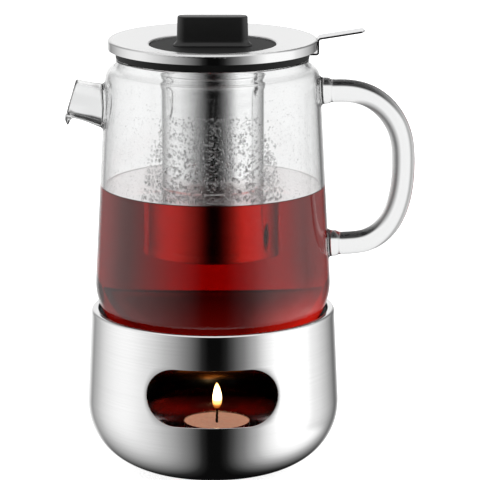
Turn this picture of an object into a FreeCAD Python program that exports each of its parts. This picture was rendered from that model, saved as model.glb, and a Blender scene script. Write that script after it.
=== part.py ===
import FreeCAD, Part
import math
import os

os.makedirs("parts", exist_ok=True)
V = FreeCAD.Vector

# --- driving dimensions, mm: Z up, spout towards -X, handle towards +X, window towards -Y ---
# warmer
pad_r, pad_t = 34.0, 0.8
shell_t = 1.0
shell_max_r, shell_max_z = 69.95, 38.5
shell_top_r, shell_top_z = 67.6, 90.3
rim_corner, rim_in_r = 1.8, 63.8
window_w, window_z0, window_z1 = 71.4, 39.4, 70.9
seat_r, seat_bead_r, seat_bead_z, seat_out_r = 49.5, 1.2, 75.3, 64.6
vent_count, vent_deg, vent_r0, vent_r1 = 6, 34.0, 54.5, 62.0
bracket_w, bracket_t, bracket_z0 = 14.0, 1.2, 64.0
tray_r, tray_top, tray_t, tray_lip = 26.0, 8.1, 0.8, 1.6
# tealight, set down a little off the centre
light_x, light_r, light_z0, light_h, light_t = 2.0, 19.0, 8.2, 16.3, 0.4
wick_r, wick_top = 0.75, 31.6
# jug
wall = 2.3
base_z, base_corner, base_r = 72.3, 32.65, 32.5
body_r, body_z = 65.15, 105.0
shoulder_r, shoulder_z = 59.35, 215.0
neck_r, neck_z0, rim_z = 53.0, 228.4, 231.2
spout_bore, spout_wall, spout_tilt = 8.9, 1.9, 12.5
spout_root, spout_end = V(-56.0, 0, 203.2), V(-78.0, 0, 208.35)
rod_r, bead_r = 6.3, 7.6
# strainer
sieve_r, sheet = 28.6, 0.3
sleeve_z, sieve_lap, sieve_z0 = 216.2, 4.0, 122.0
flange_z, flange_t, flange_r = 231.9, 0.8, 51.2
collar_r, collar_in_r, collar_z0, collar_z1 = 53.2, 49.8, 231.4, 236.5
spigot_in_r, spigot_r, spigot_h = 48.6, 50.2, 1.2
tab_w, tab_t, tab_x, tab_tip = 12.0, 1.0, 58.3, 83.4
# lid
lid_r, lid_t, lid_z0, lid_top = 57.6, 0.8, 236.0, 241.3
well_r, well_lip, well_floor, insert_t = 35.0, 238.6, 236.5, 0.95
liner_z, liner_t, plug_r, plug_z = 236.8, 0.5, 49.2, 233.9
knob_w, knob_d, knob_h, knob_foot, knob_foot_d = 39.2, 8.8, 16.3, 2.3, 1.6
knob_corner, knob_edge = 3.0, 0.6
plate_t, screw_x, screw_r, screw_hole_r, head_r, head_t = 0.5, 12.0, 1.5, 1.6, 2.6, 0.7


def save(shape, name):
    shape.exportStep("parts/%s.step" % name)


def curve(points, start=None, end=None):
    spline = Part.BSplineCurve()
    poles = [V(r, 0, z) for r, z in points]
    if start:
        spline.interpolate(Points=poles, InitialTangent=V(start[0], 0, start[1]),
                           FinalTangent=V(end[0], 0, end[1]))
    else:
        spline.interpolate(poles)
    return spline.toShape()


def arc(a, b, c):
    return Part.Arc(V(a[0], 0, a[1]), V(b[0], 0, b[1]), V(c[0], 0, c[1])).toShape()


def line(*points):
    pairs = zip(points, points[1:])
    return [Part.makeLine(V(a[0], 0, a[1]), V(b[0], 0, b[1])) for a, b in pairs]


def turned(edges):
    face = Part.Face(Part.Wire(edges))
    return face.revolve(V(0, 0, 0), V(0, 0, 1), 360)


def ring(r0, r1, z0, z1):
    outer = Part.makeCylinder(r1, z1 - z0, V(0, 0, z0))
    return outer.cut(Part.makeCylinder(r0, z1 - z0, V(0, 0, z0))) if r0 else outer


def box(x0, x1, y0, y1, z0, z1):
    return Part.makeBox(x1 - x0, y1 - y0, z1 - z0, V(x0, y0, z0))


def fused(shapes):
    return shapes[0].multiFuse(shapes[1:]).removeSplitter()


def around(shape, degrees):
    turned_shape = shape.copy()
    turned_shape.rotate(V(0, 0, 0), V(0, 0, 1), degrees)
    return turned_shape


# --- warmer ---
def bowl(t):
    """Solid of the shell's outside, or of its inside when t is the sheet thickness."""
    z0 = pad_t + t
    top = shell_top_z - t
    wall_r = shell_top_r - t
    c = max(rim_corner - t, 0.4)
    low = [(36.0, z0), (51.8 - 0.5 * t, 5.6 + 0.8 * t), (60.1 - 0.7 * t, 12.0 + 0.7 * t),
           (66.0 - 0.85 * t, 20.2 + 0.5 * t), (69.2 - 0.97 * t, 29.2 + 0.2 * t),
           (shell_max_r - t, shell_max_z)]
    k = c * (1 - math.sqrt(0.5))
    edges = line((0, z0), low[0]) + [curve(low, (34, 0), (-0.4, 12))]
    edges += line(low[-1], (wall_r, top - c))
    edges += [arc((wall_r, top - c), (wall_r - k, top - k), (wall_r - c, top))]
    edges += line((wall_r - c, top), (0, top), (0, z0))
    return turned(edges)


def window_cut():
    r = (window_z1 - window_z0) / 2
    z = (window_z0 + window_z1) / 2
    half = window_w / 2 - r
    shapes = [box(-half, half, -80, -40, window_z0, window_z1)]
    for side in (-half, half):
        shapes.append(Part.makeCylinder(r, 40, V(side, -80, z), V(0, 1, 0)))
    return fused(shapes)


def warmer_shell():
    mouth = Part.makeCylinder(rim_in_r, 10, V(0, 0, shell_top_z - 5))
    return bowl(0).cut(bowl(shell_t)).cut(mouth).cut(window_cut())


def pot_ring():
    plate = ring(seat_r, seat_out_r, seat_bead_z - 0.5, seat_bead_z + 0.5)
    bead = Part.makeTorus(seat_r, seat_bead_r, V(0, 0, seat_bead_z))
    slots = []
    for i in range(vent_count):
        tool = ring(vent_r0, vent_r1, seat_bead_z - 2, seat_bead_z + 2)
        wedge = Part.makeCylinder(80, 6, V(0, 0, seat_bead_z - 3), V(0, 0, 1), vent_deg)
        slots.append(around(tool.common(wedge), 360.0 / vent_count * i + 30 - vent_deg / 2))
    return fused([plate, bead]).cut(Part.makeCompound(slots))


def ring_brackets():
    top = seat_bead_z - 0.5
    skin = bowl(shell_t).cut(bowl(shell_t + bracket_t))
    leaf = skin.common(box(40, 75, -bracket_w / 2, bracket_w / 2, bracket_z0, top))
    foot = bowl(shell_t).common(box(58, 75, -bracket_w / 2, bracket_w / 2, top - bracket_t, top))
    bracket = fused([leaf, foot])
    return Part.makeCompound([around(bracket, a) for a in (-30, 90, 210)])


def tealight_tray():
    z0 = pad_t + shell_t
    r, t, top = tray_r, tray_t, tray_top
    return turned(line((r - t, z0), (r, z0), (r, top + tray_lip), (r - t, top + tray_lip),
                       (r - t, top), (0, top), (0, top - t), (r - t, top - t), (r - t, z0)))


# --- tealight ---
def tealight_cup():
    r, t, z1 = light_r, light_t, light_z0 + light_h
    cup = turned(line((0, light_z0), (r - 1, light_z0), (r - 0.4, light_z0 + 1), (r - 0.4, z1 - 0.8),
                      (r, z1 - 0.4), (r, z1), (r - t - 0.4, z1), (r - t - 0.4, light_z0 + 1.2),
                      (r - t - 1, light_z0 + t), (0, light_z0 + t), (0, light_z0)))
    cup.translate(V(light_x, 0, 0))
    return cup


def wick():
    return Part.makeCylinder(wick_r, wick_top - light_z0 - light_t - 0.3,
                             V(light_x, 0, light_z0 + light_t + 0.3))


def wick_base():
    z = light_z0 + light_t
    disc = fused([ring(0, 6.0, z, z + 0.3), ring(wick_r, 1.6, z + 0.3, z + 4)])
    disc.translate(V(light_x, 0, 0))
    return disc


def tealight_wax():
    z = light_z0 + light_t
    r = light_r - light_t - 0.4
    wax = turned(line((0, z), (r - 0.6, z), (r, z + 0.8), (r, light_z0 + light_h - 0.9),
                      (r - 1.2, light_z0 + light_h - 1.4), (0, light_z0 + light_h - 1.4), (0, z)))
    wax.translate(V(light_x, 0, 0))
    return wax.cut(wick()).cut(wick_base())


# --- jug ---
def jug_low_edges(t):
    """Profile of the jug's foot and corner: the outside, or the inside when t is the wall."""
    k = math.sqrt(0.5)
    c = base_corner - t
    foot = (base_r, base_z + t)
    mid = (base_r + c * k, body_z - c * k)
    return line((0, base_z + t), foot) + [arc(foot, mid, (body_r - t, body_z))]


def jug_high_edges(t):
    """Profile of the jug's cone and shoulder, up to the straight neck."""
    top = (shoulder_r - t, shoulder_z)
    return line((body_r - t, body_z), top) + [
        curve([top, (58.4 - t, 222.0), (56.2 - 0.9 * t, 225.0 - 0.5 * t),
               (53.7 - t, 226.8 - 0.3 * t), (neck_r - t, neck_z0)], (-0.3, 6), (0, 2))]


def glass_bottom():
    edges = jug_low_edges(0) + line((body_r, body_z), (body_r - wall, body_z))
    edges += jug_low_edges(wall) + line((0, base_z + wall), (0, base_z))
    return turned(Part.__sortEdges__(edges))


def glass_body():
    a, b = neck_r, neck_r - wall
    lip = wall / 2
    high = rim_z - lip
    edges = jug_high_edges(0) + line((a, neck_z0), (a, high))
    edges += [arc((a, high), (a - lip, rim_z), (b, high))]
    edges += line((b, high), (b, neck_z0)) + jug_high_edges(wall)
    edges += line((body_r - wall, body_z), (body_r, body_z))
    return turned(Part.__sortEdges__(edges)).cut(spout_bore_tool(spout_bore))


def spout_axis():
    return V(spout_end.x - spout_root.x, 0, spout_end.z - spout_root.z).normalize()


def spout_bore_tool(r):
    d = spout_axis()
    return Part.makeCylinder(r, 60, spout_root - d * 20, d)


def jug_outside():
    edges = jug_low_edges(0) + jug_high_edges(0)
    return turned(edges + line((neck_r, neck_z0), (0, neck_z0), (0, base_z)))


def spout():
    r0, r1 = spout_bore, spout_bore + spout_wall
    length = (spout_end - spout_root).Length
    # the wall's section, turned about the spout's own axis; the end flares out and down
    section = line((r0, 0), (r1 + 1.4, 0), (r1 + 1.4, 6.5))
    section += [curve([(r1 + 1.4, 6.5), (r1 + 0.3, 10), (r1, 14), (r1 + 0.2, length - 2.6)])]
    section += [curve([(r1 + 0.2, length - 2.6), (r1 + 2.0, length - 2.1), (15.4, length - 1.0)])]
    section += [curve([(15.4, length - 1.0), (r1 + 1.6, length + 1.7), (r0 + 0.9, length + 0.6),
                       (r0, length - 3.0)])]
    section += line((r0, length - 3.0), (r0, 0))
    tube = turned(section)
    round_end = Part.makeCylinder(r1 + 0.2, length + 5)
    root = Part.makeCylinder(r1 + 3, 13)
    beak = Part.makeCylinder(7.0, length + 5, V(-8.6, 0, 0))
    tube = tube.common(fused([round_end, root, beak]))
    tilt = FreeCAD.Rotation(V(0, 0, 1), spout_axis())
    tube.Placement = FreeCAD.Placement(spout_root, tilt)
    return tube.cut(jug_outside())


def handle():
    points = [V(56, 0, 212.2), V(74, 0, 212.1), V(86.5, 0, 208.9), V(98.2, 0, 198.6),
              V(104.0, 0, 185.5), V(105.2, 0, 172.5), V(104.6, 0, 160), V(101.8, 0, 147),
              V(95.2, 0, 135), V(85, 0, 128.1), V(74, 0, 126.5), V(60, 0, 126.4)]
    path = Part.BSplineCurve()
    path.interpolate(Points=points, InitialTangent=V(18, 0, 0), FinalTangent=V(-14, 0, 0))
    start = Part.Wire(Part.makeCircle(rod_r, points[0], V(1, 0, 0)))
    rod = Part.Wire(path.toShape()).makePipeShell([start], True, False)
    beads = []
    for x, z in ((61.3, points[0].z), (64.9, points[-1].z)):
        bead = Part.makeTorus(bead_r - 1.6, 1.6, V(x + 1.0, 0, z), V(1, 0, 0))
        beads.append(bead.fuse(Part.makeCylinder(bead_r, 3, V(x - 2.0, 0, z), V(1, 0, 0))))
    return fused([rod] + beads).cut(jug_outside())


# --- strainer ---
def strainer_flange():
    return ring(sieve_r, flange_r, flange_z, flange_z + flange_t)


def strainer_sleeve():
    z1 = flange_z + flange_t
    r0, r1 = sieve_r - sheet, sieve_r
    return turned(line((r0, sleeve_z), (r1, sleeve_z), (r1, 221.8), (r1 + 0.4, 222.2), (r1, 222.6),
                       (r1, z1), (r0, z1), (r0, sleeve_z)))


def strainer_screen():
    r1 = sieve_r - sheet
    return ring(r1 - sheet, r1, sieve_z0 + 0.4, sleeve_z + sieve_lap)


def strainer_base():
    r, z = sieve_r - sheet, sieve_z0
    return turned(line((0, z), (r - 1, z), (sieve_r, z + 1), (sieve_r, z + 5), (r, z + 5),
                       (r, z + 0.4), (0, z + 0.4), (0, z)))


def strainer_tab():
    z = flange_z + flange_t
    path = line((40, z), (tab_x - 1.6, z)) + [arc((tab_x - 1.6, z), (tab_x - 0.47, z + 0.47),
                                                  (tab_x, z + 1.6))]
    path += line((tab_x, z + 1.6), (tab_x, 240.8), (tab_x + 0.6, 241.4), (tab_tip, 245.3))
    face = Part.Wire(path).makeOffset2D(tab_t, join=0, fill=True, openResult=True)
    strip = face.extrude(V(0, tab_w, 0))
    strip.translate(V(0, -tab_w / 2, 0))
    round_tip = Part.makeCylinder(tab_w, 30, V(tab_tip - tab_w, 0, 225))
    return strip.common(fused([box(30, tab_tip - 4, -20, 20, 225, 255), round_tip]))


def strainer_collar():
    seat = ring(collar_in_r, collar_r, collar_z0, collar_z1)
    spigot = ring(spigot_in_r, spigot_r, collar_z0 - spigot_h, collar_z0 + 0.5)
    return fused([seat, spigot]).cut(strainer_flange()).cut(strainer_tab())


# --- lid ---
def tab_notch():
    half = tab_w / 2 + 0.5
    return box(tab_x - tab_t - 0.6, tab_x + 10, -half, half, 230, 245)


def lid_cover():
    r, t = lid_r, lid_t
    edge = (r - 1.5, lid_top)
    edges = line((r, lid_z0), (r, lid_top - 1.5))
    edges += [arc((r, lid_top - 1.5), (r - 0.44, lid_top - 0.44), edge)]
    edges += line(edge, (well_r + 0.6, well_lip), (well_r, well_lip - 0.5), (well_r, well_floor),
                  (0, well_floor), (0, well_floor - t), (well_r + t, well_floor - t),
                  (well_r + t, well_lip - t - 0.1), (r - 1.5, lid_top - t))
    edges += [arc((r - 1.5, lid_top - t), (r - 1.005, lid_top - 1.005), (r - t, lid_top - 1.5))]
    edges += line((r - t, lid_top - 1.5), (r - t, lid_z0), (r, lid_z0))
    return turned(edges).cut(screw_holes()).cut(tab_notch())


def screw_holes():
    low = well_floor - 3
    return Part.makeCompound([Part.makeCylinder(screw_hole_r, 5, V(x, 0, low)) for x in (-screw_x, screw_x)])


def lid_insert():
    return ring(0, well_r - 0.1, well_floor, well_floor + insert_t).cut(screw_holes())


def rounded_block(w, d, z0, z1, corner):
    block = box(-w / 2, w / 2, -d / 2, d / 2, z0, z1)
    upright = [e for e in block.Edges if abs(e.tangentAt(e.FirstParameter).z) > 0.9]
    block = block.makeFillet(corner, upright)
    return block, [e for e in block.Edges if e.BoundBox.ZMin > z1 - 0.01]


def lid_knob():
    z0 = well_floor + insert_t
    grip, top = rounded_block(knob_w, knob_d, z0, z0 + knob_h, knob_corner)
    grip = grip.makeFillet(knob_edge, top)
    foot, top = rounded_block(knob_w + 2 * knob_foot, knob_d + 2 * knob_foot_d, z0, z0 + knob_foot,
                              knob_corner + knob_foot_d)
    foot = foot.makeChamfer(knob_foot_d - 0.1, top)
    return fused([grip, foot]).cut(knob_screws())


def knob_plate():
    z1 = well_floor - lid_t
    return box(-18, 18, -6, 6, z1 - plate_t, z1).cut(screw_holes())


def knob_screws():
    z1 = well_floor - lid_t - plate_t
    screws = []
    for x in (-screw_x, screw_x):
        head = Part.makeCylinder(head_r, head_t, V(x, 0, z1 - head_t))
        shank = Part.makeCylinder(screw_r, 12.0, V(x, 0, z1))
        slot = box(x - 0.3, x + 0.3, -2.0, 2.0, z1 - head_t - 0.1, z1 - head_t / 2)
        screws.append(fused([head, shank]).cut(slot))
    return Part.makeCompound(screws)


def lid_liner():
    r, t, z = lid_r - lid_t, liner_t, liner_z
    pan = turned(line((0, plug_z), (plug_r, plug_z), (plug_r, z), (r, z), (r, z + t),
                      (plug_r - t, z + t), (plug_r - t, plug_z + t), (0, plug_z + t), (0, plug_z)))
    return pan.cut(tab_notch())


def main():
    save(ring(0, pad_r, 0, pad_t), "base_pad")
    for make in (warmer_shell, pot_ring, ring_brackets, tealight_tray, tealight_cup, tealight_wax,
                 wick, wick_base, glass_bottom, glass_body, spout, handle, strainer_flange, strainer_sleeve,
                 strainer_screen, strainer_base, strainer_tab, strainer_collar, lid_cover,
                 lid_insert, lid_knob, knob_plate, knob_screws, lid_liner):
        save(make(), make.__name__)


main()
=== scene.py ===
import bmesh
import bpy
import math
import random

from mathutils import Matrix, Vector

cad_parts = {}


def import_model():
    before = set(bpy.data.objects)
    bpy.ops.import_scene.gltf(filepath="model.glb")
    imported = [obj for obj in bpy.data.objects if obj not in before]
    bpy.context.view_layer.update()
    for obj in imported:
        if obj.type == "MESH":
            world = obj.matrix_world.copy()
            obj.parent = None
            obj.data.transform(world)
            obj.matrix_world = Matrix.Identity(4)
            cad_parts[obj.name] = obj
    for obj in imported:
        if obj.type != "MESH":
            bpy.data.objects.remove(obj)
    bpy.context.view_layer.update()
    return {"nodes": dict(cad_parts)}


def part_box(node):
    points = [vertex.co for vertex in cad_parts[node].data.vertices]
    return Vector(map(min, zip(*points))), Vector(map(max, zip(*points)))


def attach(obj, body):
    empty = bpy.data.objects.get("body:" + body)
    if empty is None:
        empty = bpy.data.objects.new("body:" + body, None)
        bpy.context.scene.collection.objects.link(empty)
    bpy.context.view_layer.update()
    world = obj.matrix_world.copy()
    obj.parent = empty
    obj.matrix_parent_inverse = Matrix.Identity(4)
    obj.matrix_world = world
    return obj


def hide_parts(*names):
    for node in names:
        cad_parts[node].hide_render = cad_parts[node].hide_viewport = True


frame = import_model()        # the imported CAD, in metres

MM = 0.001
LOW, HIGH = 0, 1
random.seed(7)


def edge(node, side, axis):
    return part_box(node)[side][axis] / MM


# Heights and radii that the frame gives, in mm
JUG_BASE = edge("glass_bottom", LOW, 2)
SHELL_BASE = edge("warmer_shell", LOW, 2)
SHELL_TOP = edge("warmer_shell", HIGH, 2)
LIGHT_X = (edge("tealight_wax", LOW, 0) + edge("tealight_wax", HIGH, 0)) / 2
LIGHT_TOP = edge("tealight_cup", HIGH, 2)
LIGHT_BASE = edge("tealight_cup", LOW, 2)
WICK_TOP = edge("wick", HIGH, 2)
KNOB_BASE = edge("lid_knob", LOW, 2)
KNOB_TOP = edge("lid_knob", HIGH, 2)
SIEVE_R = edge("strainer_screen", HIGH, 0)

# Glass
WALL = 2.3
JUG_COLUMNS = 192
STRAIGHT_OUT, STRAIGHT_IN = 50, 48      # outlines beyond these radii are the upright wall
CORNER_R, FOOT_R, BELLY_R, BELLY_Z = 32.65, 32.5, 65.15, 105.0
SHOULDER = [(59.35, 215.0), (58.4, 222.0), (56.2, 225.0), (53.7, 226.8), (53.0, 228.4), (53.0, 230.05)]
TEA_LEVEL, TEA_EDGE = 159.4, 160.2
FILM = 0.1
SPOUT_Z, SPOUT_END = 204.1, Vector((-78.0, 0, 208.35))
SPOUT_PATCH, SPOUT_WELD, BORE_WELD = 15.5, 13.6, 10.2
ROD_R, HANDLE_PATCH, HANDLE_WELD, HANDLE_STUB = 6.3, 9.8, 8.6, 7.2
HANDLE = [(74, 212.1), (86.5, 208.9), (98.2, 198.6), (104.0, 185.5), (105.2, 172.5), (104.6, 160),
          (101.8, 147), (95.2, 135), (85, 128.1), (74, 126.5)]
HANDLE_TOP, HANDLE_LOW = 212.2, 126.4

# Drops above the tea
DROPS, DROP_CLIMB, MIST, MIST_CLIMB = 2100, 46, 1700, 50

# Warmer
SHEET = 1.0
BOWL_COLUMNS, WINDOW_COLUMNS, WINDOW_MARGIN = 256, 52, 3.4
BOWL = [(36.0, 0.8), (51.8, 5.6), (60.1, 12.0), (66.0, 20.2), (69.2, 29.2), (69.95, 38.5)]
SHELL_TOP_R, RIM_IN_R, RIM_CORNER = 67.6, 63.8, 1.8
WINDOW_W, WINDOW_Z0, WINDOW_Z1 = 71.4, 39.4, 70.9

FLAME_DIP, FLAME_HIGH = 0.5, 15.1

# Optics
GLASS_IOR, WATER_IOR, DROP_IOR = 1.47, 1.333, 1.2

# The brightest part of the studio
GLOW = 1.4


# --- small geometry helpers, all in mm until mesh_object ---
def spline(points, per_span, start=None, end=None):
    """Points on a smooth curve through the given ones: a cubic with continuous curvature."""
    n = len(points)
    chord = [math.dist(a, b) for a, b in zip(points, points[1:])]
    dims = len(points[0])
    slopes = []
    for d in range(dims):
        v = [p[d] for p in points]
        a, b, c, r = [0.0] * n, [1.0] * n, [0.0] * n, [0.0] * n
        for i in range(1, n - 1):
            a[i], b[i], c[i] = chord[i], 2 * (chord[i - 1] + chord[i]), chord[i - 1]
            r[i] = 3 * (chord[i] / chord[i - 1] * (v[i] - v[i - 1])
                        + chord[i - 1] / chord[i] * (v[i + 1] - v[i]))
        if start:
            r[0] = start[d]
        else:
            b[0], c[0], r[0] = 2.0, 1.0, 3 * (v[1] - v[0]) / chord[0]
        if end:
            r[-1] = end[d]
        else:
            a[-1], b[-1], r[-1] = 1.0, 2.0, 3 * (v[-1] - v[-2]) / chord[-1]
        for i in range(1, n):
            f = a[i] / b[i - 1]
            b[i] -= f * c[i - 1]
            r[i] -= f * r[i - 1]
        m = [0.0] * n
        m[-1] = r[-1] / b[-1]
        for i in range(n - 2, -1, -1):
            m[i] = (r[i] - c[i] * m[i + 1]) / b[i]
        slopes.append(m)
    out = []
    for i, h in enumerate(chord):
        for s in range(per_span):
            t = s / per_span
            w = (2 * t**3 - 3 * t**2 + 1, (t**3 - 2 * t**2 + t) * h, 3 * t**2 - 2 * t**3, (t**3 - t**2) * h)
            out.append(tuple(w[0] * points[i][d] + w[1] * slopes[d][i] + w[2] * points[i + 1][d]
                             + w[3] * slopes[d][i + 1] for d in range(dims)))
    out.append(tuple(points[-1]))
    return out


def arc_points(centre, radius, a0, a1, steps):
    """Points on an arc in the (r, z) plane; angles in degrees from +r towards +z."""
    turns = [math.radians(a0 + (a1 - a0) * i / steps) for i in range(steps + 1)]
    return [(centre[0] + radius * math.cos(a), centre[1] + radius * math.sin(a)) for a in turns]


def run(a, b, step):
    """Points from a up to but not including b, about step apart."""
    n = max(1, round(math.dist(a, b) / step))
    return [(a[0] + (b[0] - a[0]) * i / n, a[1] + (b[1] - a[1]) * i / n) for i in range(n)]


def inset(points, distance):
    """The outline moved sideways, towards its left."""
    out = []
    for i, p in enumerate(points):
        a, b = points[max(i - 1, 0)], points[min(i + 1, len(points) - 1)]
        dr, dz = b[0] - a[0], b[1] - a[1]
        h = math.hypot(dr, dz)
        out.append((p[0] - dz / h * distance if p[0] else 0.0, p[1] + dr / h * distance))
    return out


def radius_of(points):
    """Radius as a function of height on an upright stretch of an outline."""
    pairs = sorted((z, r) for r, z in points)

    def radius(z):
        for (z0, r0), (z1, r1) in zip(pairs, pairs[1:]):
            if z <= z1:
                return r0 + (r1 - r0) * (z - z0) / max(z1 - z0, 1e-9)
        return pairs[-1][1]
    return radius


def ring_faces(bm, a, b):
    n = len(a)
    for k in range(n):
        quad = [a[k], a[(k + 1) % n], b[(k + 1) % n], b[k]]
        corners = list(dict.fromkeys(quad))
        if len(corners) > 2:
            bm.faces.new(corners)


def turn(bm, outline, columns, patches=(), second=()):
    """A turned surface. A patch is (first row, last row, first column, columns wide), left open.
    The rows in second get the second material. Gives back the rim loops of the patches."""
    rows = []
    for r, z in outline:
        if r < 1e-6:
            rows.append([bm.verts.new((0, 0, z))] * columns)
            continue
        angles = [2 * math.pi * j / columns for j in range(columns)]
        rows.append([bm.verts.new((r * math.cos(a), r * math.sin(a), z)) for a in angles])
    for i in range(len(rows) - 1):
        for j in range(columns):
            if any(p[0] <= i < p[1] and (j - p[2]) % columns < p[3] for p in patches):
                continue
            k = (j + 1) % columns
            corners = list(dict.fromkeys([rows[i][j], rows[i][k], rows[i + 1][k], rows[i + 1][j]]))
            bm.faces.new(corners).material_index = int(i in second)
    loops = []
    for i0, i1, j0, wide in patches:
        cells = [(i0, j0 + j) for j in range(wide)]
        cells += [(i, j0 + wide) for i in range(i0, i1)]
        cells += [(i1, j0 + j) for j in range(wide, 0, -1)]
        cells += [(i, j0) for i in range(i1, i0, -1)]
        loops.append([rows[i][j % columns] for i, j in cells])
    bmesh.ops.delete(bm, geom=[v for v in bm.verts if not v.link_faces], context="VERTS")
    return loops


class Patch:
    """The flat chart of a turned surface around one direction: u sideways, z up."""

    def __init__(self, heading, centre_z, radius):
        self.heading, self.centre_z, self.radius = heading, centre_z, radius

    def place(self, u, z, out=0.0):
        r = self.radius(z)
        side = math.asin(max(-1, min(1, u / r)))
        a = self.heading + side
        return Vector((r * math.cos(a) + out * math.cos(self.heading),
                       r * math.sin(a) + out * math.sin(self.heading), z))

    def chart(self, co):
        u = -co.x * math.sin(self.heading) + co.y * math.cos(self.heading)
        return u, co.z

    def close_in(self, bm, loop, target, steps):
        """Rings from the square loop to a rounder opening. target(angle) gives (u, z - centre)."""
        start = [self.chart(v.co) for v in loop]
        angles = [math.atan2(z - self.centre_z, u) for u, z in start]
        goals = [target(a) for a in angles]
        ring = loop
        for s in range(1, steps + 1):
            t = s / steps
            spots = [((1 - t) * u + t * g[0], (1 - t) * z + t * (self.centre_z + g[1]))
                     for (u, z), g in zip(start, goals)]
            new = [bm.verts.new(self.place(u, z)) for u, z in spots]
            ring_faces(bm, ring, new)
            ring = new
        return ring, angles


def circle(radius):
    return lambda a: (radius * math.cos(a), radius * math.sin(a))


def stadium(width, height, grow=0.0):
    """Where a ray from the centre at an angle meets a slot with round ends."""
    r = height / 2 + grow
    half = width / 2 + grow - r

    def target(a):
        c, s = math.cos(a), math.sin(a)
        if abs(s) > 1e-9 and abs(r * c / s) <= half:
            return r * c / abs(s), math.copysign(r, s)
        e = math.copysign(half, c)
        b = e * c
        t = b + math.sqrt(max(b * b - half * half + r * r, 0))
        return t * c, t * s
    return target


def columns_for(heading, columns, wide):
    return round(heading / (2 * math.pi) * columns - wide / 2) % columns


def rows_for(outline, z0, z1, first=0):
    """First and last row whose heights are nearest z0 and z1, searching up from a row."""
    rows = range(first, len(outline))
    a = min(rows, key=lambda i: abs(outline[i][1] - z0))
    b = min(rows, key=lambda i: abs(outline[i][1] - z1))
    return min(a, b), max(a, b)


def mesh_object(bm, name, body, slot, *replaced):
    bmesh.ops.recalc_face_normals(bm, faces=bm.faces)
    mesh = bpy.data.meshes.new(name)
    for v in bm.verts:
        v.co *= MM
    bm.to_mesh(mesh)
    bm.free()
    mesh.shade_smooth()
    obj = bpy.data.objects.new(name, mesh)
    bpy.context.scene.collection.objects.link(obj)
    if body:
        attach(obj, body)
    if replaced:
        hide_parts(*replaced)
    return obj


# --- the jug, one fused piece of glass ---
def jug_outlines():
    push_up = 1.1
    outer = [(0.0, JUG_BASE + push_up)]
    outer += [(r, JUG_BASE + push_up * (1 - (r / FOOT_R) ** 2) ** 1.5) for r in range(4, 32, 4)]
    outer += arc_points((FOOT_R, BELLY_Z), CORNER_R, -90, 0, 18)
    line_z = TEA_EDGE + 0.12
    line_r = BELLY_R + (SHOULDER[0][0] - BELLY_R) * (line_z - BELLY_Z) / (SHOULDER[0][1] - BELLY_Z)
    outer += run((BELLY_R, BELLY_Z), (line_r, line_z), 2.0)[1:]
    outer += run((line_r, line_z), SHOULDER[0], 2.0)
    outer += spline(SHOULDER, 4, start=(-0.05, 1.0), end=(0, 1.0))
    return outer, inset(outer, WALL)


def tube_ring(centre, along, side, radius, angles, lean=None):
    up = along.cross(side)
    spots = []
    for a in angles:
        r = radius(a) if callable(radius) else radius
        shift = along * lean(a) if lean else Vector((0, 0, 0))
        spots.append(centre + (side * math.cos(a) + up * math.sin(a)) * r + shift)
    return spots


def weld_rings(bm, ring, patch, angles, steps, centre_at, along, side):
    """Rings that rise from the wall and turn into a tube: steps are (radius, height, share of tube)."""
    for r, h, w in steps:
        tube = tube_ring(centre_at(h), along, side, r, angles)
        new = []
        for a, t in zip(angles, tube):
            wall = patch.place(r * math.cos(a), patch.centre_z + r * math.sin(a), h)
            new.append(bm.verts.new(wall.lerp(t, w)))
        ring_faces(bm, ring, new)
        ring = new
    return ring


def matched(ring, angles, mirrored_to):
    """The ring's vertices in the order that meets angles which run the other way round."""
    n = len(ring)
    flipped = [(-a) % (2 * math.pi) for a in mirrored_to]
    own = [a % (2 * math.pi) for a in angles]

    def miss(k):
        gaps = [abs((flipped[i] - own[(k - i) % n] + math.pi) % (2 * math.pi) - math.pi) for i in range(n)]
        return sum(gaps)
    k = min(range(n), key=miss)
    return [ring[(k - i) % n] for i in range(n)]


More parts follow.
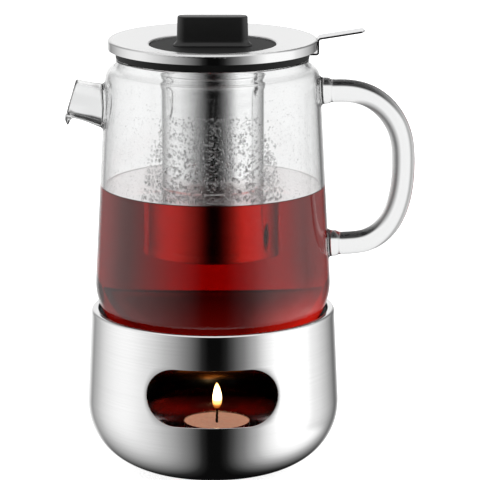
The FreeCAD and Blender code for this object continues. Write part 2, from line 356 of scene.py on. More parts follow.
def jug_glass():
    columns = JUG_COLUMNS
    outer, inner = jug_outlines()
    lip = arc_points((outer[-1][0] - WALL / 2, outer[-1][1]), WALL / 2, 0, 180, 6)[1:-1]
    inner_rows = list(reversed(inner))
    outline = outer + lip + inner_rows
    first_inner = len(outer) + len(lip)

    out_r = radius_of([p for p in outer if p[1] > BELLY_Z and p[0] > STRAIGHT_OUT])
    in_r = radius_of([p for p in inner if p[1] > BELLY_Z and p[0] > STRAIGHT_IN])

    def patch_cells(heading, z, half, inside=False):
        rows = rows_for(outline[:len(outer)], z - half, z + half)
        if inside:
            last = len(outline) - 1
            rows = (last - rows[1], last - rows[0])
        wide = 2 * round(half / (2 * math.pi * out_r(z) / columns))
        return rows[0], rows[1], columns_for(heading, columns, wide), wide

    bm = bmesh.new()
    cells = [patch_cells(math.pi, SPOUT_Z, SPOUT_PATCH),
             patch_cells(math.pi, SPOUT_Z, SPOUT_PATCH, inside=True),
             patch_cells(0, HANDLE_TOP, HANDLE_PATCH), patch_cells(0, HANDLE_LOW, HANDLE_PATCH)]
    wet = [i for i in range(first_inner, len(outline)) if outline[i][1] < TEA_EDGE + 0.1]
    loops = turn(bm, outline, columns, cells, wet)

    # spout
    left = Vector((0, -1, 0))
    root = Vector((-out_r(SPOUT_Z), 0, SPOUT_Z))
    along = (SPOUT_END - root).normalized()

    def on_spout(h):
        return root + along * h

    def share(a):
        """How much of the beak a direction gets: all of it straight down, none above."""
        return max(0.0, -math.sin(a)) ** 7

    spout_out = Patch(math.pi, SPOUT_Z, out_r)
    spout_in = Patch(math.pi, SPOUT_Z - 0.4, in_r)
    ring, angles = spout_out.close_in(bm, loops[0], circle(SPOUT_WELD), 3)
    steps = [(13.0, 0.25, 0), (12.5, 0.75, 0.05), (12.1, 1.5, 0.25), (11.75, 2.6, 0.6), (11.5, 4.0, 0.9),
             (11.2, 6.0, 1.0), (10.95, 8.0, 1.0)]
    ring = weld_rings(bm, ring, spout_out, angles, steps, on_spout, along, left)

    # the mouth: (distance past the end, radius), above and at the beak
    plain = [(-8.5, 10.85), (-6.5, 10.75), (-4.6, 10.68), (-3.4, 10.65), (-2.4, 10.62), (-1.5, 10.6),
             (-0.8, 10.55), (-0.25, 10.25), (0, 9.65), (-0.25, 9.05), (-0.8, 8.75), (-1.6, 8.7),
             (-2.5, 8.7), (-3.5, 8.7), (-4.6, 8.7), (-6.5, 8.7), (-9, 8.7)]
    beak = [(-8.5, 10.85), (-6.5, 10.8), (-4.9, 10.75), (-3.9, 11.15), (-3.3, 12.0), (-3.0, 13.2),
            (-2.75, 14.4), (-2.5, 15.1), (-2.1, 15.3), (-1.6, 14.9), (-0.6, 13.7), (0.45, 12.0),
            (0.74, 10.5), (0.25, 9.5), (-1.2, 8.95), (-4, 8.75), (-9, 8.7)]
    for (s0, r0), (s1, r1) in zip(plain, beak):
        def radius(a):
            return r0 + (r1 - r0) * share(a)

        def lean(a):
            return (s0 + (s1 - s0) * share(a)) - 0.06 * r0 * math.sin(a) * max(0, 1 + s0 / 9)
        new = [bm.verts.new(p) for p in tube_ring(SPOUT_END, along, left, radius, angles, lean)]
        ring_faces(bm, ring, new)
        ring = new
    hole, own = spout_in.close_in(bm, loops[1], circle(BORE_WELD), 3)
    order = matched(hole, own, [-a for a in angles])
    steps = [(8.8, 5.0, 1.0), (9.0, 2.4, 0.55), (9.3, 1.0, 0.2), (9.8, 0.3, 0.0)]
    ring = weld_rings(bm, ring, spout_in, angles, steps, on_spout, along, left)
    ring_faces(bm, ring, order)

    # handle
    top = Patch(0, HANDLE_TOP, out_r)
    low = Patch(0, HANDLE_LOW, out_r)
    right, side = Vector((1, 0, 0)), Vector((0, 1, 0))
    ring, angles = top.close_in(bm, loops[2], circle(HANDLE_WELD), 2)
    weld = [(8.1, 0.25, 0), (7.6, 0.8, 0.2), (7.35, 1.6, 0.6), (7.3, 2.6, 1.0), (7.25, 3.7, 1.0),
            (6.95, 4.7, 1.0), (6.5, 5.5, 1.0), (6.32, 6.6, 1.0)]
    start = Vector((out_r(HANDLE_TOP), 0, HANDLE_TOP))
    ring = weld_rings(bm, ring, top, angles, weld, lambda h: start + right * h, right, side)
    end_ring, end_angles = low.close_in(bm, loops[3], circle(HANDLE_WELD), 2)
    stop = Vector((out_r(HANDLE_LOW), 0, HANDLE_LOW))
    end_ring = weld_rings(bm, end_ring, low, end_angles, weld, lambda h: stop + right * h, right, side)
    route = [(start.x + HANDLE_STUB, HANDLE_TOP)] + HANDLE + [(stop.x + HANDLE_STUB, HANDLE_LOW)]
    route = spline(route, 7, start=(1, 0), end=(-1, 0))
    points = [Vector((x, 0, z)) for x, z in route]
    for i in range(1, len(points) - 1):
        forward = (points[i + 1] - points[i - 1]).normalized()
        new = [bm.verts.new(p) for p in tube_ring(points[i], forward, side, ROD_R, angles)]
        ring_faces(bm, ring, new)
        ring = new
    ring_faces(bm, ring, matched(end_ring, end_angles, angles))
    return mesh_object(bm, "jug_glass", "jug", "clear_glass",
                       "glass_body", "glass_bottom", "spout", "handle")


def tea():
    """The tea. Its skin lies a film's width off the wetted glass, whose own inner face is clear."""
    outer, _ = jug_outlines()
    skin = [p for p in inset(outer, WALL - FILM) if p[1] < TEA_EDGE + 0.1]
    r, z = skin[-1][0] - FILM, TEA_LEVEL
    top = [(r, TEA_EDGE - 0.02), (r - 0.3, z + 0.55), (r - 0.7, z + 0.36), (r - 1.4, z + 0.14),
           (r - 2.6, z + 0.02), (r - 4.0, z), (50.0, z), (40.0, z), (32.0, z), (30.2, z + 0.1),
           (29.3, z + 0.35), (28.75, z + 0.75), (28.0, z + 0.75), (27.6, z + 0.4), (26.8, z + 0.12),
           (25.5, z), (12, z), (0, z)]
    bm = bmesh.new()
    turn(bm, skin + top, JUG_COLUMNS)
    return mesh_object(bm, "tea", "jug", "clear_glass")


def condensation():
    """Drops on the inside of the wall above the tea: thick at the front and back, a mist all round."""
    _, inner = jug_outlines()
    radius = radius_of([p for p in inner if p[0] > STRAIGHT_IN])
    bm = bmesh.new()
    ball = bmesh.new()
    bmesh.ops.create_icosphere(ball, subdivisions=1, radius=1.0)
    faces = [[v.index for v in f.verts] for f in ball.faces]
    shape = [v.co.copy() for v in ball.verts]
    ball.free()

    def drop(a, z, size):
        r = radius(z) + 0.15 * size
        tall = random.uniform(0.9, 1.4)
        out = Vector((math.cos(a), math.sin(a), 0))
        along = Vector((-math.sin(a), math.cos(a), 0))
        lean = random.uniform(-0.3, 0.3)
        verts = [bm.verts.new(out * (r + p.x * size * 0.36) + along * (p.y + lean * p.z) * size
                              + Vector((0, 0, z + p.z * size * tall))) for p in shape]
        for f in faces:
            bm.faces.new([verts[i] for i in f])

    for _ in range(DROPS):
        climb = random.random() ** 1.25
        spread = math.radians(40 - 14 * climb)
        a = random.choice((-math.pi / 2, -math.pi / 2, math.pi / 2)) + random.uniform(-spread, spread)
        drop(a, TEA_EDGE + 1.2 + DROP_CLIMB * climb, random.uniform(0.45, 1.0) * (1.0 - 0.35 * climb))
    for _ in range(MIST):
        climb = random.random() ** 1.3
        drop(random.uniform(0, 2 * math.pi), TEA_EDGE + 0.8 + MIST_CLIMB * climb, random.uniform(0.16, 0.36))
    return mesh_object(bm, "condensation", "jug", "clear_glass")


# --- the warmer's shell ---
def shell_outline():
    outer = [(0.0, SHELL_BASE)] + [(float(r), SHELL_BASE) for r in (10, 20, 28, 33)]
    outer += spline(BOWL, 6, start=(1, 0), end=(-0.02, 1.0))
    corner = (SHELL_TOP_R - RIM_CORNER, SHELL_TOP - RIM_CORNER)
    outer += run(outer[-1], (SHELL_TOP_R, corner[1]), 1.7)[1:]
    rim = arc_points(corner, RIM_CORNER, 0, 90, 6)
    rim += [(RIM_IN_R + 0.9, SHELL_TOP)]
    rim += arc_points((RIM_IN_R + SHEET / 2, SHELL_TOP - SHEET / 2), SHEET / 2, 90, 270, 6)
    rim += [(RIM_IN_R + 1.2, SHELL_TOP - SHEET)]
    rim += arc_points(corner, RIM_CORNER - SHEET, 90, 0, 4)
    return outer, rim, list(reversed(inset(outer, SHEET)))


def warmer_bowl():
    columns, wide = BOWL_COLUMNS, WINDOW_COLUMNS
    outer, rim, inner = shell_outline()
    outline = outer + rim + inner
    first_inner = len(outer) + len(rim)
    z_mid = (WINDOW_Z0 + WINDOW_Z1) / 2
    rows = rows_for(outer, WINDOW_Z0 - WINDOW_MARGIN, WINDOW_Z1 + WINDOW_MARGIN, 12)
    last = len(outline) - 1
    j0 = columns_for(1.5 * math.pi, columns, wide)
    cells = [(rows[0], rows[1], j0, wide), (last - rows[1], last - rows[0], j0, wide)]
    bm = bmesh.new()
    loops = turn(bm, outline, columns, cells, range(first_inner, len(outline)))
    tall = WINDOW_Z1 - WINDOW_Z0
    front = Patch(1.5 * math.pi, z_mid, radius_of([p for p in outer if p[0] > 60]))
    back = Patch(1.5 * math.pi, z_mid, radius_of([p for p in inner if p[0] > 59]))
    outer_ring, angles = front.close_in(bm, loops[0], stadium(WINDOW_W, tall, 0.25), 3)
    inner_ring, own = back.close_in(bm, loops[1], stadium(WINDOW_W, tall, 0.25), 3)
    order = matched(inner_ring, own, [-a for a in angles])
    ring = outer_ring
    for grow, out in ((0.06, -0.1), (0.0, -0.3), (0.0, -0.7), (0.06, -0.9)):
        shape = stadium(WINDOW_W, tall, grow)
        spots = [shape(a) for a in angles]
        new = [bm.verts.new(front.place(u, z_mid + z, out)) for u, z in spots]
        ring_faces(bm, ring, new)
        ring = new
    ring_faces(bm, ring, order)
    return mesh_object(bm, "warmer_bowl", "warmer", "satin_steel", "warmer_shell")


# --- the knob ---
def rounded_rectangle(width, depth, radius, per_corner=8):
    w, d = width / 2 - radius, depth / 2 - radius
    spots = []
    for i, (sx, sy) in enumerate(((1, 1), (-1, 1), (-1, -1), (1, -1))):
        for k in range(per_corner + 1):
            a = math.radians(90 * i + 90 * k / per_corner)
            spots.append((sx * w + radius * math.cos(a), sy * d + radius * math.sin(a)))
    return spots


def knob():
    width, depth = 38.4, 9.6
    z0, z1 = KNOB_BASE, KNOB_TOP
    # (height, grow in width and depth, corner radius)
    stack = [(z0, 4.6, 6.2), (z0 + 0.35, 4.7, 6.2), (z0 + 0.8, 4.0, 6.0), (z0 + 1.3, 2.9, 5.6),
             (z0 + 1.9, 1.8, 5.1), (z0 + 2.6, 1.0, 4.8), (z0 + 3.6, 0.75, 4.6), (z0 + 6, 0.6, 4.5),
             (z1 - 3, 0.25, 4.4), (z1 - 0.9, 0.12, 4.4), (z1 - 0.45, -0.1, 4.2), (z1 - 0.15, -0.5, 4.0),
             (z1, -1.2, 3.7)]
    bm = bmesh.new()
    rings = []
    for z, grow, radius in stack:
        spots = rounded_rectangle(width + grow, depth + grow, radius)
        rings.append([bm.verts.new((x, y, z)) for x, y in spots])
    for a, b in zip(rings, rings[1:]):
        ring_faces(bm, a, b)
    bm.faces.new(list(reversed(rings[0])))
    bm.faces.new(rings[-1])
    return mesh_object(bm, "block_knob", "lid", "black_plastic", "lid_knob")


# --- the tealight ---
def tealight_can():
    """A foil cup with a pressed base and a rolled rim."""
    r, z0, z1 = 18.6, LIGHT_BASE, LIGHT_TOP
    outline = [(0, z0 + 0.5), (14, z0 + 0.5), (15.5, z0 + 0.1), (r - 1.2, z0), (r - 0.3, z0 + 0.4),
               (r, z0 + 1.4), (r, z0 + 4), (r, z0 + 8), (r, z1 - 3), (r, z1 - 0.9), (r + 0.3, z1 - 0.6),
               (r + 0.4, z1 - 0.25), (r + 0.2, z1), (r - 0.15, z1 - 0.05), (r - 0.3, z1 - 0.3),
               (r - 0.35, z1 - 1), (r - 0.35, z1 - 4), (r - 0.35, z0 + 1.6), (r - 0.8, z0 + 0.9),
               (14, z0 + 0.9), (0, z0 + 0.9)]
    bm = bmesh.new()
    turn(bm, outline, 144)
    for v in bm.verts:
        rad = math.hypot(v.co.x, v.co.y)
        if rad > 17.5 and z0 + 2 < v.co.z < z1 - 2:
            flute = 0.12 * math.cos(36 * math.atan2(v.co.y, v.co.x))
            v.co.x *= 1 - flute / rad
            v.co.y *= 1 - flute / rad
        v.co.x += LIGHT_X
    return mesh_object(bm, "tealight_can", "tealight", "cup_aluminium", "tealight_cup")


def wax():
    """Wax with a molten pool around the wick and a soft bank at its edge."""
    z = LIGHT_TOP - 1.1
    outline = [(0, LIGHT_BASE + 1.0), (17.6, LIGHT_BASE + 1.0), (18.1, LIGHT_BASE + 2.2), (18.15, z - 0.4),
               (18.0, z + 0.15), (17.3, z + 0.1), (16.0, z - 0.15), (14.0, z - 0.35), (12.0, z - 0.4),
               (10.4, z - 0.45), (9.6, z - 0.8), (9.0, z - 1.0), (6.0, z - 1.05), (2.0, z - 1.0),
               (1.1, z - 0.85), (0.9, z - 0.5), (0, z - 0.5)]
    bm = bmesh.new()
    turn(bm, outline, 96)
    for v in bm.verts:
        v.co.x += LIGHT_X
    return mesh_object(bm, "wax", "tealight", "wax", "tealight_wax")


def burnt_wick():
    """A braided wick that bends over a little at its tip."""
    z0 = LIGHT_TOP - 2.2
    height = WICK_TOP - z0
    bm = bmesh.new()
    rings = []
    for i in range(25):
        t = i / 24
        centre = Vector((LIGHT_X + 0.35 * t * t, 0.1 * math.sin(3 * t), z0 + height * t))
        radius = 0.78 * (1 - 0.25 * t) * (1 if t < 0.96 else 0.6)
        ring = []
        for k in range(18):
            a = 2 * math.pi * k / 18
            braid = 0.09 * math.sin(3 * a + 22 * t)
            ring.append(bm.verts.new(centre + Vector((math.cos(a), math.sin(a), 0)) * (radius + braid)))
        rings.append(ring)
    for a, b in zip(rings, rings[1:]):
        ring_faces(bm, a, b)
    bm.faces.new(list(reversed(rings[0])))
    bm.faces.new(rings[-1])
    return mesh_object(bm, "burnt_wick", "tealight", "wick_cotton", "wick")


def flame():
    z0 = WICK_TOP - FLAME_DIP
    outline = [(0, 0), (1.4, 0.35), (2.2, 1.4), (2.6, 3.0), (2.7, 4.8), (2.6, 6.8), (2.3, 8.9), (1.85, 10.9),
               (1.3, 12.7), (0.7, 14.1), (0, FLAME_HIGH)]
    bm = bmesh.new()
    turn(bm, [(r, z0 + z) for r, z in spline(outline, 3)][:-1] + [(0, z0 + FLAME_HIGH)], 32)
    for v in bm.verts:
        v.co.x += LIGHT_X + 0.25 * math.sin((v.co.z - z0) / 5.0)
    return mesh_object(bm, "flame", "tealight", "wax")


# --- materials ---
def material(name, **values):
    m = bpy.data.materials.new(name)
    m.use_nodes = True
    bsdf = m.node_tree.nodes["Principled BSDF"]
    for key, value in values.items():
        bsdf.inputs[key.replace("_", " ")].default_value = value
    return m


def add(m, kind, inputs=(), **settings):
    node = m.node_tree.nodes.new("ShaderNode" + kind)
    for key, value in settings.items():
        setattr(node, key, value)
    for key, value in dict(inputs).items():
        node.inputs[key].default_value = value
    return node


def join(m, a, b):
    m.node_tree.links.new(a, b)


def shader(m):
    return m.node_tree.nodes["Principled BSDF"]


def stretched_noise(m, stretch, detail=3.0, roughness=0.6):
    """Noise in the object's own metres, stretched: stretch is cycles per metre along x, y and z."""
    spot = add(m, "TexCoord")
    scaled = add(m, "Mapping", {"Scale": stretch})
    noise = add(m, "TexNoise", {"Scale": 1.0, "Detail": detail, "Roughness": roughness})
    join(m, spot.outputs["Object"], scaled.inputs["Vector"])
    join(m, scaled.outputs["Vector"], noise.inputs["Vector"])
    return noise.outputs["Fac"]


def axes(m):
    """The object's own X, Y and Z, in metres."""
    spot = add(m, "TexCoord")
    split = add(m, "SeparateXYZ")
    join(m, spot.outputs["Object"], split.inputs[0])
    return split.outputs


def from_axis(m):
    """Distance from the upright axis, in metres."""
    spot = add(m, "TexCoord")
    flat = add(m, "VectorMath", {1: (1, 1, 0)}, operation="MULTIPLY")
    join(m, spot.outputs["Object"], flat.inputs[0])
    across = add(m, "VectorMath", operation="LENGTH")
    join(m, flat.outputs[0], across.inputs[0])
    return across.outputs["Value"]


def spread(m, source, low, high, start=0.3, stop=0.7):
    ranged = add(m, "MapRange", {"From Min": start, "From Max": stop, "To Min": low, "To Max": high})
    join(m, source, ranged.inputs["Value"])
    return ranged.outputs["Result"]


def bump(m, source, distance, strength=1.0):
    node = add(m, "Bump", {"Distance": distance, "Strength": strength})
    join(m, source, node.inputs["Height"])
    join(m, node.outputs["Normal"], shader(m).inputs["Normal"])
    return node


def ramp(m, source, *table):
    """A colour for each value of source: the table holds (position, colour) from low to high."""
    node = add(m, "ValToRGB")
    stops = node.color_ramp.elements
    for stop, (position, colour) in ((stops[0], table[0]), (stops[1], table[-1])):
        stop.position, stop.color = position, (*colour, 1)
    for position, colour in table[1:-1]:
        stops.new(position).color = (*colour, 1)
    join(m, source, node.inputs["Fac"])
    return node.outputs["Color"]


def tint(m, source, low, high):
    join(m, ramp(m, source, (0.25, low), (0.75, high)), shader(m).inputs["Base Color"])


def steel(name, low, high, rough_low, rough_high, lines=5200, depth=0.0000012):
    """Stainless sheet brushed round its axis: fine level lines."""
    m = material(name, Metallic=1.0)
    line = stretched_noise(m, (14, 14, lines), 2.0)
    cloud = stretched_noise(m, (38, 38, 60), 3.0)
    tint(m, line, low, high)
    join(m, spread(m, cloud, rough_low, rough_high), shader(m).inputs["Roughness"])
    bump(m, line, depth)
    return m


def inner_steel():
    """Steel inside the warmer, from the floor up: satin, a near-black band of painted shade, an orange band
    of painted flame reflection, then satin again; painted shade dims it all.
    """
    m = steel("inside_steel", (0.88, 0.88, 0.88), (1.0, 1.0, 1.0), 0.10, 0.16)
    height = spread(m, axes(m)["Z"], 0.0, 1.0, 0.0, 0.1)
    # painted shade and light by height: the dark stops are painted shade inside the warmer, the orange stops
    # a painted reflection of the flame
    tone = ramp(m, height, (0.13, (0.66, 0.66, 0.66)), (0.21, (0.012, 0.012, 0.012)),
                (0.29, (0.013, 0.012, 0.012)), (0.37, (0.43, 0.18, 0.04)), (0.42, (0.43, 0.25, 0.11)),
                (0.55, (0.36, 0.36, 0.36)))
    line = shader(m).inputs["Base Color"].links[0].from_socket
    shade = add(m, "VectorMath", operation="MULTIPLY")
    join(m, line, shade.inputs[0])
    join(m, tone, shade.inputs[1])
    join(m, shade.outputs[0], shader(m).inputs["Base Color"])
    return m


def lid_steel():
    """Polished at the rim, satin and paler on the face that looks up."""
    m = material("lid_steel", Metallic=1.0)
    bump(m, stretched_noise(m, (14, 14, 3000), 2.0), 0.0000006)
    r = from_axis(m)
    join(m, spread(m, r, 0.30, 0.07, 0.0545, 0.0562), shader(m).inputs["Roughness"])
    join(m, spread(m, r, 0.84, 0.69, 0.0545, 0.0562), shader(m).inputs["Base Color"])
    return m


def glass_material():
    m = material("clear_glass", IOR=GLASS_IOR, Roughness=0.0)
    shader(m).inputs["Transmission Weight"].default_value = 1.0
    shader(m).inputs["Base Color"].default_value = (0.94, 0.943, 0.943, 1)
    wave = stretched_noise(m, (22, 22, 9), 1.0)
    bump(m, wave, 0.00006)
    return m


def math_node(m, operation, *values):
    node = add(m, "Math", operation=operation)
    for socket, value in zip(node.inputs, values):
        if isinstance(value, (int, float)):
            socket.default_value = value
        else:
            join(m, value, socket)
    return node.outputs[0]


def tea_material():
    """Liquid against glass at its skin, and against air on top, where it is also shinier."""
    m = material("tea", Roughness=0.0)
    bsdf = shader(m)
    bsdf.inputs["Transmission Weight"].default_value = 1.0
    bsdf.inputs["Base Color"].default_value = (1.0, 1.0, 1.0, 1)
    outer, _ = jug_outlines()
    edge_r = [p for p in inset(outer, WALL - FILM) if p[1] < TEA_EDGE + 0.1][-1][0]
    own = axes(m)
    inside = math_node(m, "LESS_THAN", from_axis(m), (edge_r - FILM / 2) * MM)
    high = math_node(m, "GREATER_THAN", own["Z"], (TEA_LEVEL - 5) * MM)
    air = math_node(m, "MULTIPLY", inside, high)
    join(m, spread(m, air, WATER_IOR / GLASS_IOR, WATER_IOR, 0.0, 1.0), bsdf.inputs["IOR"])
    shine = add(m, "BsdfGlossy", {"Color": (0.97, 0.95, 0.95, 1), "Roughness": 0.03})
    mix = add(m, "MixShader")
    sideways = math_node(m, "ABSOLUTE", own["X"])
    join(m, math_node(m, "MULTIPLY", air, spread(m, sideways, 0.4, 0.8, 0.022, 0.042)), mix.inputs[0])
    join(m, bsdf.outputs[0], mix.inputs[1])
    join(m, shine.outputs[0], mix.inputs[2])
    out = m.node_tree.nodes["Material Output"]
    join(m, mix.outputs[0], out.inputs["Surface"])
    # painted glow: emission standing in for flame light scattered by the tea, strongest low down and towards
    # +X
    low = spread(m, own["Z"], 1.0, 0.0, (JUG_BASE + 8) * MM, (JUG_BASE + 30) * MM)
    right = spread(m, own["X"], 2.0, 24.0, 0.016, 0.050)
    lit = add(m, "Emission", {"Color": (1.0, 0.07, 0.04, 1)})
    join(m, math_node(m, "MULTIPLY", low, right), lit.inputs["Strength"])
    absorbing = add(m, "VolumeAbsorption", {"Color": (0.85, 0.16, 0.02, 1), "Density": 80.0})
    both = add(m, "AddShader")
    join(m, absorbing.outputs[0], both.inputs[0])
    join(m, lit.outputs[0], both.inputs[1])
    join(m, both.outputs[0], out.inputs["Volume"])
    return m


def black_plastic(name, grain, depth, rough, shine=0.45, tone=0.012):
    m = material(name)
    shader(m).inputs["Specular IOR Level"].default_value = shine
    speck = stretched_noise(m, (grain, grain, grain), 4.0)
    tint(m, speck, (0.7 * tone,) * 3, (1.3 * tone,) * 3)
    join(m, spread(m, speck, rough - 0.05, rough + 0.06), shader(m).inputs["Roughness"])
    bump(m, speck, depth)
    return m


def screen_material():
    """Sheet with fine square holes in rows round the tube, cut by the shader's alpha."""
    pitch, hole = 0.00072, 0.22
    m = material("mesh_steel", Metallic=1.0, Roughness=0.12)
    own = axes(m)
    turned = math_node(m, "ARCTAN2", own["Y"], own["X"])
    per_turn = round(2 * math.pi * SIEVE_R * MM / pitch)
    masks = []
    for source, scale in ((turned, per_turn / (2 * math.pi)), (own["Z"], 1 / pitch)):
        wave = math_node(m, "PINGPONG", math_node(m, "MULTIPLY", source, scale), 0.5)
        masks.append(math_node(m, "GREATER_THAN", wave, 0.5 - hole))
    both = math_node(m, "MULTIPLY", *masks)
    join(m, spread(m, both, 1.0, 0.8, 0.0, 1.0), shader(m).inputs["Alpha"])
    tone = stretched_noise(m, (60, 60, 300), 3.0)
    tint(m, tone, (0.80, 0.80, 0.80), (0.88, 0.88, 0.88))
    return m


def wax_material():
    m = material("wax", Roughness=0.35)
    bsdf = shader(m)
    bsdf.inputs["Subsurface Weight"].default_value = 0.6
    bsdf.inputs["Subsurface Radius"].default_value = (1.0, 0.45, 0.3)
    bsdf.inputs["Subsurface Scale"].default_value = 0.004
    cloud = stretched_noise(m, (160, 160, 160), 4.0)
    tint(m, cloud, (0.66, 0.44, 0.36), (0.84, 0.66, 0.56))
    bump(m, cloud, 0.0003)
    # painted glow: the wax emits its own warm light, standing in for flame light shining through it,
    # speckled by noise
    bsdf.inputs["Emission Color"].default_value = (0.50, 0.27, 0.18, 1)
    speck = stretched_noise(m, (1500, 1500, 1500), 2.0)
    join(m, spread(m, speck, 0.45, 0.95), bsdf.inputs["Emission Strength"])
    return m


def flame_material():
    """Pale in the middle, orange at its edge and foot."""
    m = material("flame_glow", Roughness=1.0)
    bsdf = shader(m)
    bsdf.inputs["Base Color"].default_value = (0, 0, 0, 1)
    bsdf.inputs["Specular IOR Level"].default_value = 0.0
    foot = (WICK_TOP - FLAME_DIP) * MM
    height = spread(m, axes(m)["Z"], 0.0, 1.0, foot, foot + FLAME_HIGH * MM)
    rising = ramp(m, height, (0.0, (0.03, 0.006, 0.001)), (0.14, (0.06, 0.018, 0.003)),
                  (0.32, (0.35, 0.18, 0.05)), (0.5, (1.0, 0.78, 0.42)), (0.8, (0.8, 0.5, 0.18)),
                  (1.0, (0.20, 0.09, 0.015)))
    rim = add(m, "LayerWeight", {"Blend": 0.35})
    fringe = ramp(m, rim.outputs["Facing"], (0.12, (1, 1, 1)), (0.85, (0.12, 0.035, 0.006)))
    both = add(m, "Mix", data_type="RGBA", blend_type="MULTIPLY")
    both.inputs["Factor"].default_value = 1.0
    join(m, rising, both.inputs["A"])
    join(m, fringe, both.inputs["B"])
    join(m, both.outputs["Result"], bsdf.inputs["Emission Color"])
    bsdf.inputs["Emission Strength"].default_value = 12.0
    return m


def plain_material(name, low, high, metallic, rough, grain, depth):
    m = material(name, Metallic=metallic)
    speck = stretched_noise(m, (grain, grain, grain), 4.0)
    tint(m, speck, low, high)
    join(m, spread(m, speck, rough - 0.06, rough + 0.06), shader(m).inputs["Roughness"])
    bump(m, speck, depth)
    return m


def paint(obj, *materials):
    for m in materials:
        obj.data.materials.append(m)


def paint_node(name, m):
    obj = frame["nodes"][name]
    for s in obj.material_slots:
        s.material = m


# --- set, light and camera ---
def world():
    """A studio wrapped round the object: dark towards -Y, bright at both sides, white behind."""
    w = bpy.data.worlds.new("studio")
    bpy.context.scene.world = w
    w.use_nodes = True
    w.node_tree.nodes.clear()

    def node(kind, inputs=(), **settings):
        n = w.node_tree.nodes.new("ShaderNode" + kind)
        for key, value in settings.items():
            setattr(n, key, value)
        for key, value in dict(inputs).items():
            n.inputs[key].default_value = value
        return n

    link = w.node_tree.links.new
    spot = node("TexCoord")
    split = node("SeparateXYZ")
    link(spot.outputs["Generated"], split.inputs[0])
    # sideways share of the direction, widened a little for steep directions
    steep = node("Math", {1: 2.0}, operation="POWER")
    link(split.outputs["Z"], steep.inputs[0])
    level = node("Math", {1: -0.62, 2: 1.0}, operation="MULTIPLY_ADD")
    link(steep.outputs[0], level.inputs[0])
    root = node("Math", {1: 0.5}, operation="POWER")
    link(level.outputs[0], root.inputs[0])
    side = node("Math", operation="DIVIDE")
    link(split.outputs["X"], side.inputs[0])
    link(root.outputs[0], side.inputs[1])
    across = node("MapRange", {"From Min": -1.0, "From Max": 1.0})
    link(side.outputs[0], across.inputs["Value"])

    def strip(left, right, middle):
        """Brightness from side to side: the angles are degrees off the middle."""
        ramp = node("ValToRGB")
        stops = ramp.color_ramp.elements
        for stop, table, at in ((stops[0], left, 0.0), (stops[1], right, 1.0)):
            stop.position, stop.color = at, (table[-1][1] / GLOW,) * 3 + (1,)
        for sign, table in ((-1, left), (1, right)):
            for degrees, level in table[:-1]:
                at = 0.5 + sign * 0.5 * math.sin(math.radians(degrees))
                stops.new(at).color = (level / GLOW,) * 3 + (1,)
        if middle:
            stops.new(0.5).color = (middle / GLOW,) * 3 + (1,)
        link(across.outputs["Result"], ramp.inputs["Fac"])
        return ramp.outputs["Color"]

    def blend(a, b, source, start, stop):
        ease = node("MapRange", {"From Min": start, "From Max": stop}, interpolation_type="SMOOTHSTEP")
        link(source, ease.inputs["Value"])
        mix = node("Mix", data_type="RGBA")
        link(ease.outputs["Result"], mix.inputs["Factor"])
        link(a, mix.inputs["A"])
        if b:
            link(b, mix.inputs["B"])
        else:
            mix.inputs["B"].default_value = (0.75, 0.75, 0.75, 1)
        return mix.outputs["Result"]

    front = strip([(4.2, 0.004), (10, 0.026), (16, 0.115), (28, 0.31), (45, 0.62), (65, 0.98), (90, 1.22)],
                  [(7, 0.004), (12.6, 0.018), (18.6, 0.08), (29, 0.245), (40, 0.56), (52, 1.1), (62, 1.4),
                   (90, 1.4)], 0)
    back = strip([(10, 1.0), (18, 0.95), (22, 0.80), (26, 0.55), (31, 0.36), (46, 0.62), (68, 1.05),
                  (90, 1.22)],
                 [(9, 1.0), (14, 0.67), (20, 0.38), (25, 0.2), (30, 0.2), (44, 0.5), (57, 0.78), (75, 1.12),
                  (90, 1.4)], 1.0)
    low_back = blend(front, back, split.outputs["Z"], -0.5, -0.36)
    around = blend(front, low_back, split.outputs["Y"], 0.0, 0.3)
    sky = blend(around, None, split.outputs["Z"], 0.55, 0.9)
    glow = node("Background", {"Strength": GLOW})
    link(sky, glow.inputs["Color"])
    white = node("Background", {"Color": (1, 1, 1, 1), "Strength": 1.0})
    ray = node("LightPath")
    mix = node("MixShader")
    link(ray.outputs["Is Camera Ray"], mix.inputs[0])
    link(glow.outputs[0], mix.inputs[1])
    link(white.outputs[0], mix.inputs[2])
    out = node("OutputWorld")
    link(mix.outputs[0], out.inputs["Surface"])


def floor():
    bm = bmesh.new()
    rings = []
    for r in (0.0, 90.0, 200.0, 600.0, 1500.0, 4000.0):
        if r == 0:
            rings.append([bm.verts.new((0, 0, 0))] * 96)
        else:
            turns = [2 * math.pi * k / 96 for k in range(96)]
            rings.append([bm.verts.new((r * math.cos(a), r * math.sin(a), 0)) for a in turns])
    for a, b in zip(rings, rings[1:]):
        ring_faces(bm, a, b)
    obj = mesh_object(bm, "floor", None, None)
    m = material("floor_white", Roughness=0.9)
    shader(m).inputs["Base Color"].default_value = (0.93, 0.93, 0.93, 1)
    shader(m).inputs["Specular IOR Level"].default_value = 0.0
    shader(m).inputs["Emission Color"].default_value = (1, 1, 1, 1)
    shader(m).inputs["Emission Strength"].default_value = 0.7
    paint(obj, m)
    obj.visible_glossy = False
    obj.visible_transmission = False
    return obj


def camera():
    distance, elevation = 1.812, math.radians(12.8)
    target = Vector((0.01503, 0, 0.128))
    cam = bpy.data.objects.new("camera", bpy.data.cameras.new("camera"))
    bpy.context.scene.collection.objects.link(cam)
    cam.location = target + distance * Vector((0, -math.cos(elevation), math.sin(elevation)))
    cam.rotation_euler = (math.pi / 2 - elevation, 0, 0)
    cam.data.lens = 244.8
    cam.data.sensor_width = 36.0
    cam.data.clip_start, cam.data.clip_end = 0.05, 50.0
    bpy.context.scene.camera = cam


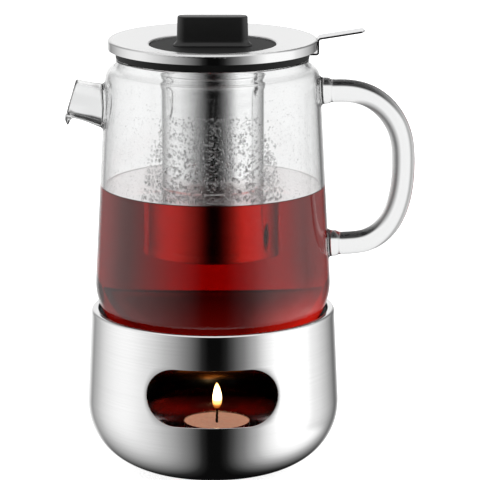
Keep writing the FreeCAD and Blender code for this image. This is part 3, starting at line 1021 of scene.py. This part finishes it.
def main():
    scene = bpy.context.scene
    scene.view_settings.view_transform = "Standard"
    scene.cycles.max_bounces = 24
    scene.cycles.transmission_bounces = 20
    scene.cycles.transparent_max_bounces = 24
    camera()
    world()
    floor()

    clear = glass_material()
    satin = steel("satin_steel", (0.74, 0.74, 0.74), (0.81, 0.81, 0.81), 0.06, 0.11)
    inside = inner_steel()
    bright = steel("strainer_steel", (0.82, 0.82, 0.82), (0.88, 0.88, 0.88), 0.14, 0.18, 3000, 0.0000006)
    polished = steel("polished_steel", (0.66, 0.66, 0.67), (0.72, 0.72, 0.73), 0.05, 0.09, 3000, 0.0000006)
    black = black_plastic("black_plastic", 2600, 0.00003, 0.36)
    silicone = black_plastic("black_silicone", 900, 0.00001, 0.40, 0.15, 0.005)
    matt = black_plastic("matt_plastic", 3400, 0.00004, 0.62, 0.2)
    wet = material("wetted_glass", Alpha=0.0)
    pad = black_plastic("dark_pad", 1200, 0.00006, 0.8)
    foil = plain_material("cup_aluminium", (0.60, 0.59, 0.58), (0.72, 0.71, 0.70), 1.0, 0.25, 500, 0.00001)
    zinc = plain_material("zinc_steel", (0.50, 0.50, 0.52), (0.62, 0.62, 0.63), 1.0, 0.4, 700, 0.00001)
    char = plain_material("wick_cotton", (0.006, 0.005, 0.004), (0.03, 0.02, 0.015), 0.0, 0.9, 3000, 0.00005)

    paint(jug_glass(), clear, wet)
    paint(tea(), tea_material())
    drops = material("condensation", IOR=DROP_IOR, Roughness=0.0, Alpha=0.55)
    shader(drops).inputs["Transmission Weight"].default_value = 1.0
    paint(condensation(), drops)
    paint(warmer_bowl(), satin, inside)
    paint(knob(), black)
    paint(tealight_can(), foil)
    paint(wax(), wax_material())
    paint(burnt_wick(), char)
    paint(flame(), flame_material())

    for name in ("pot_ring", "ring_brackets", "tealight_tray"):
        paint_node(name, inside)
    for name in ("strainer_flange", "strainer_sleeve", "strainer_base"):
        paint_node(name, bright)
    for name in ("strainer_tab", "lid_liner"):
        paint_node(name, polished)
    paint_node("lid_cover", lid_steel())
    paint_node("strainer_screen", screen_material())
    paint_node("strainer_collar", silicone)
    paint_node("lid_insert", matt)
    paint_node("base_pad", pad)
    for name in ("wick_base", "knob_plate", "knob_screws"):
        paint_node(name, zinc)


main()
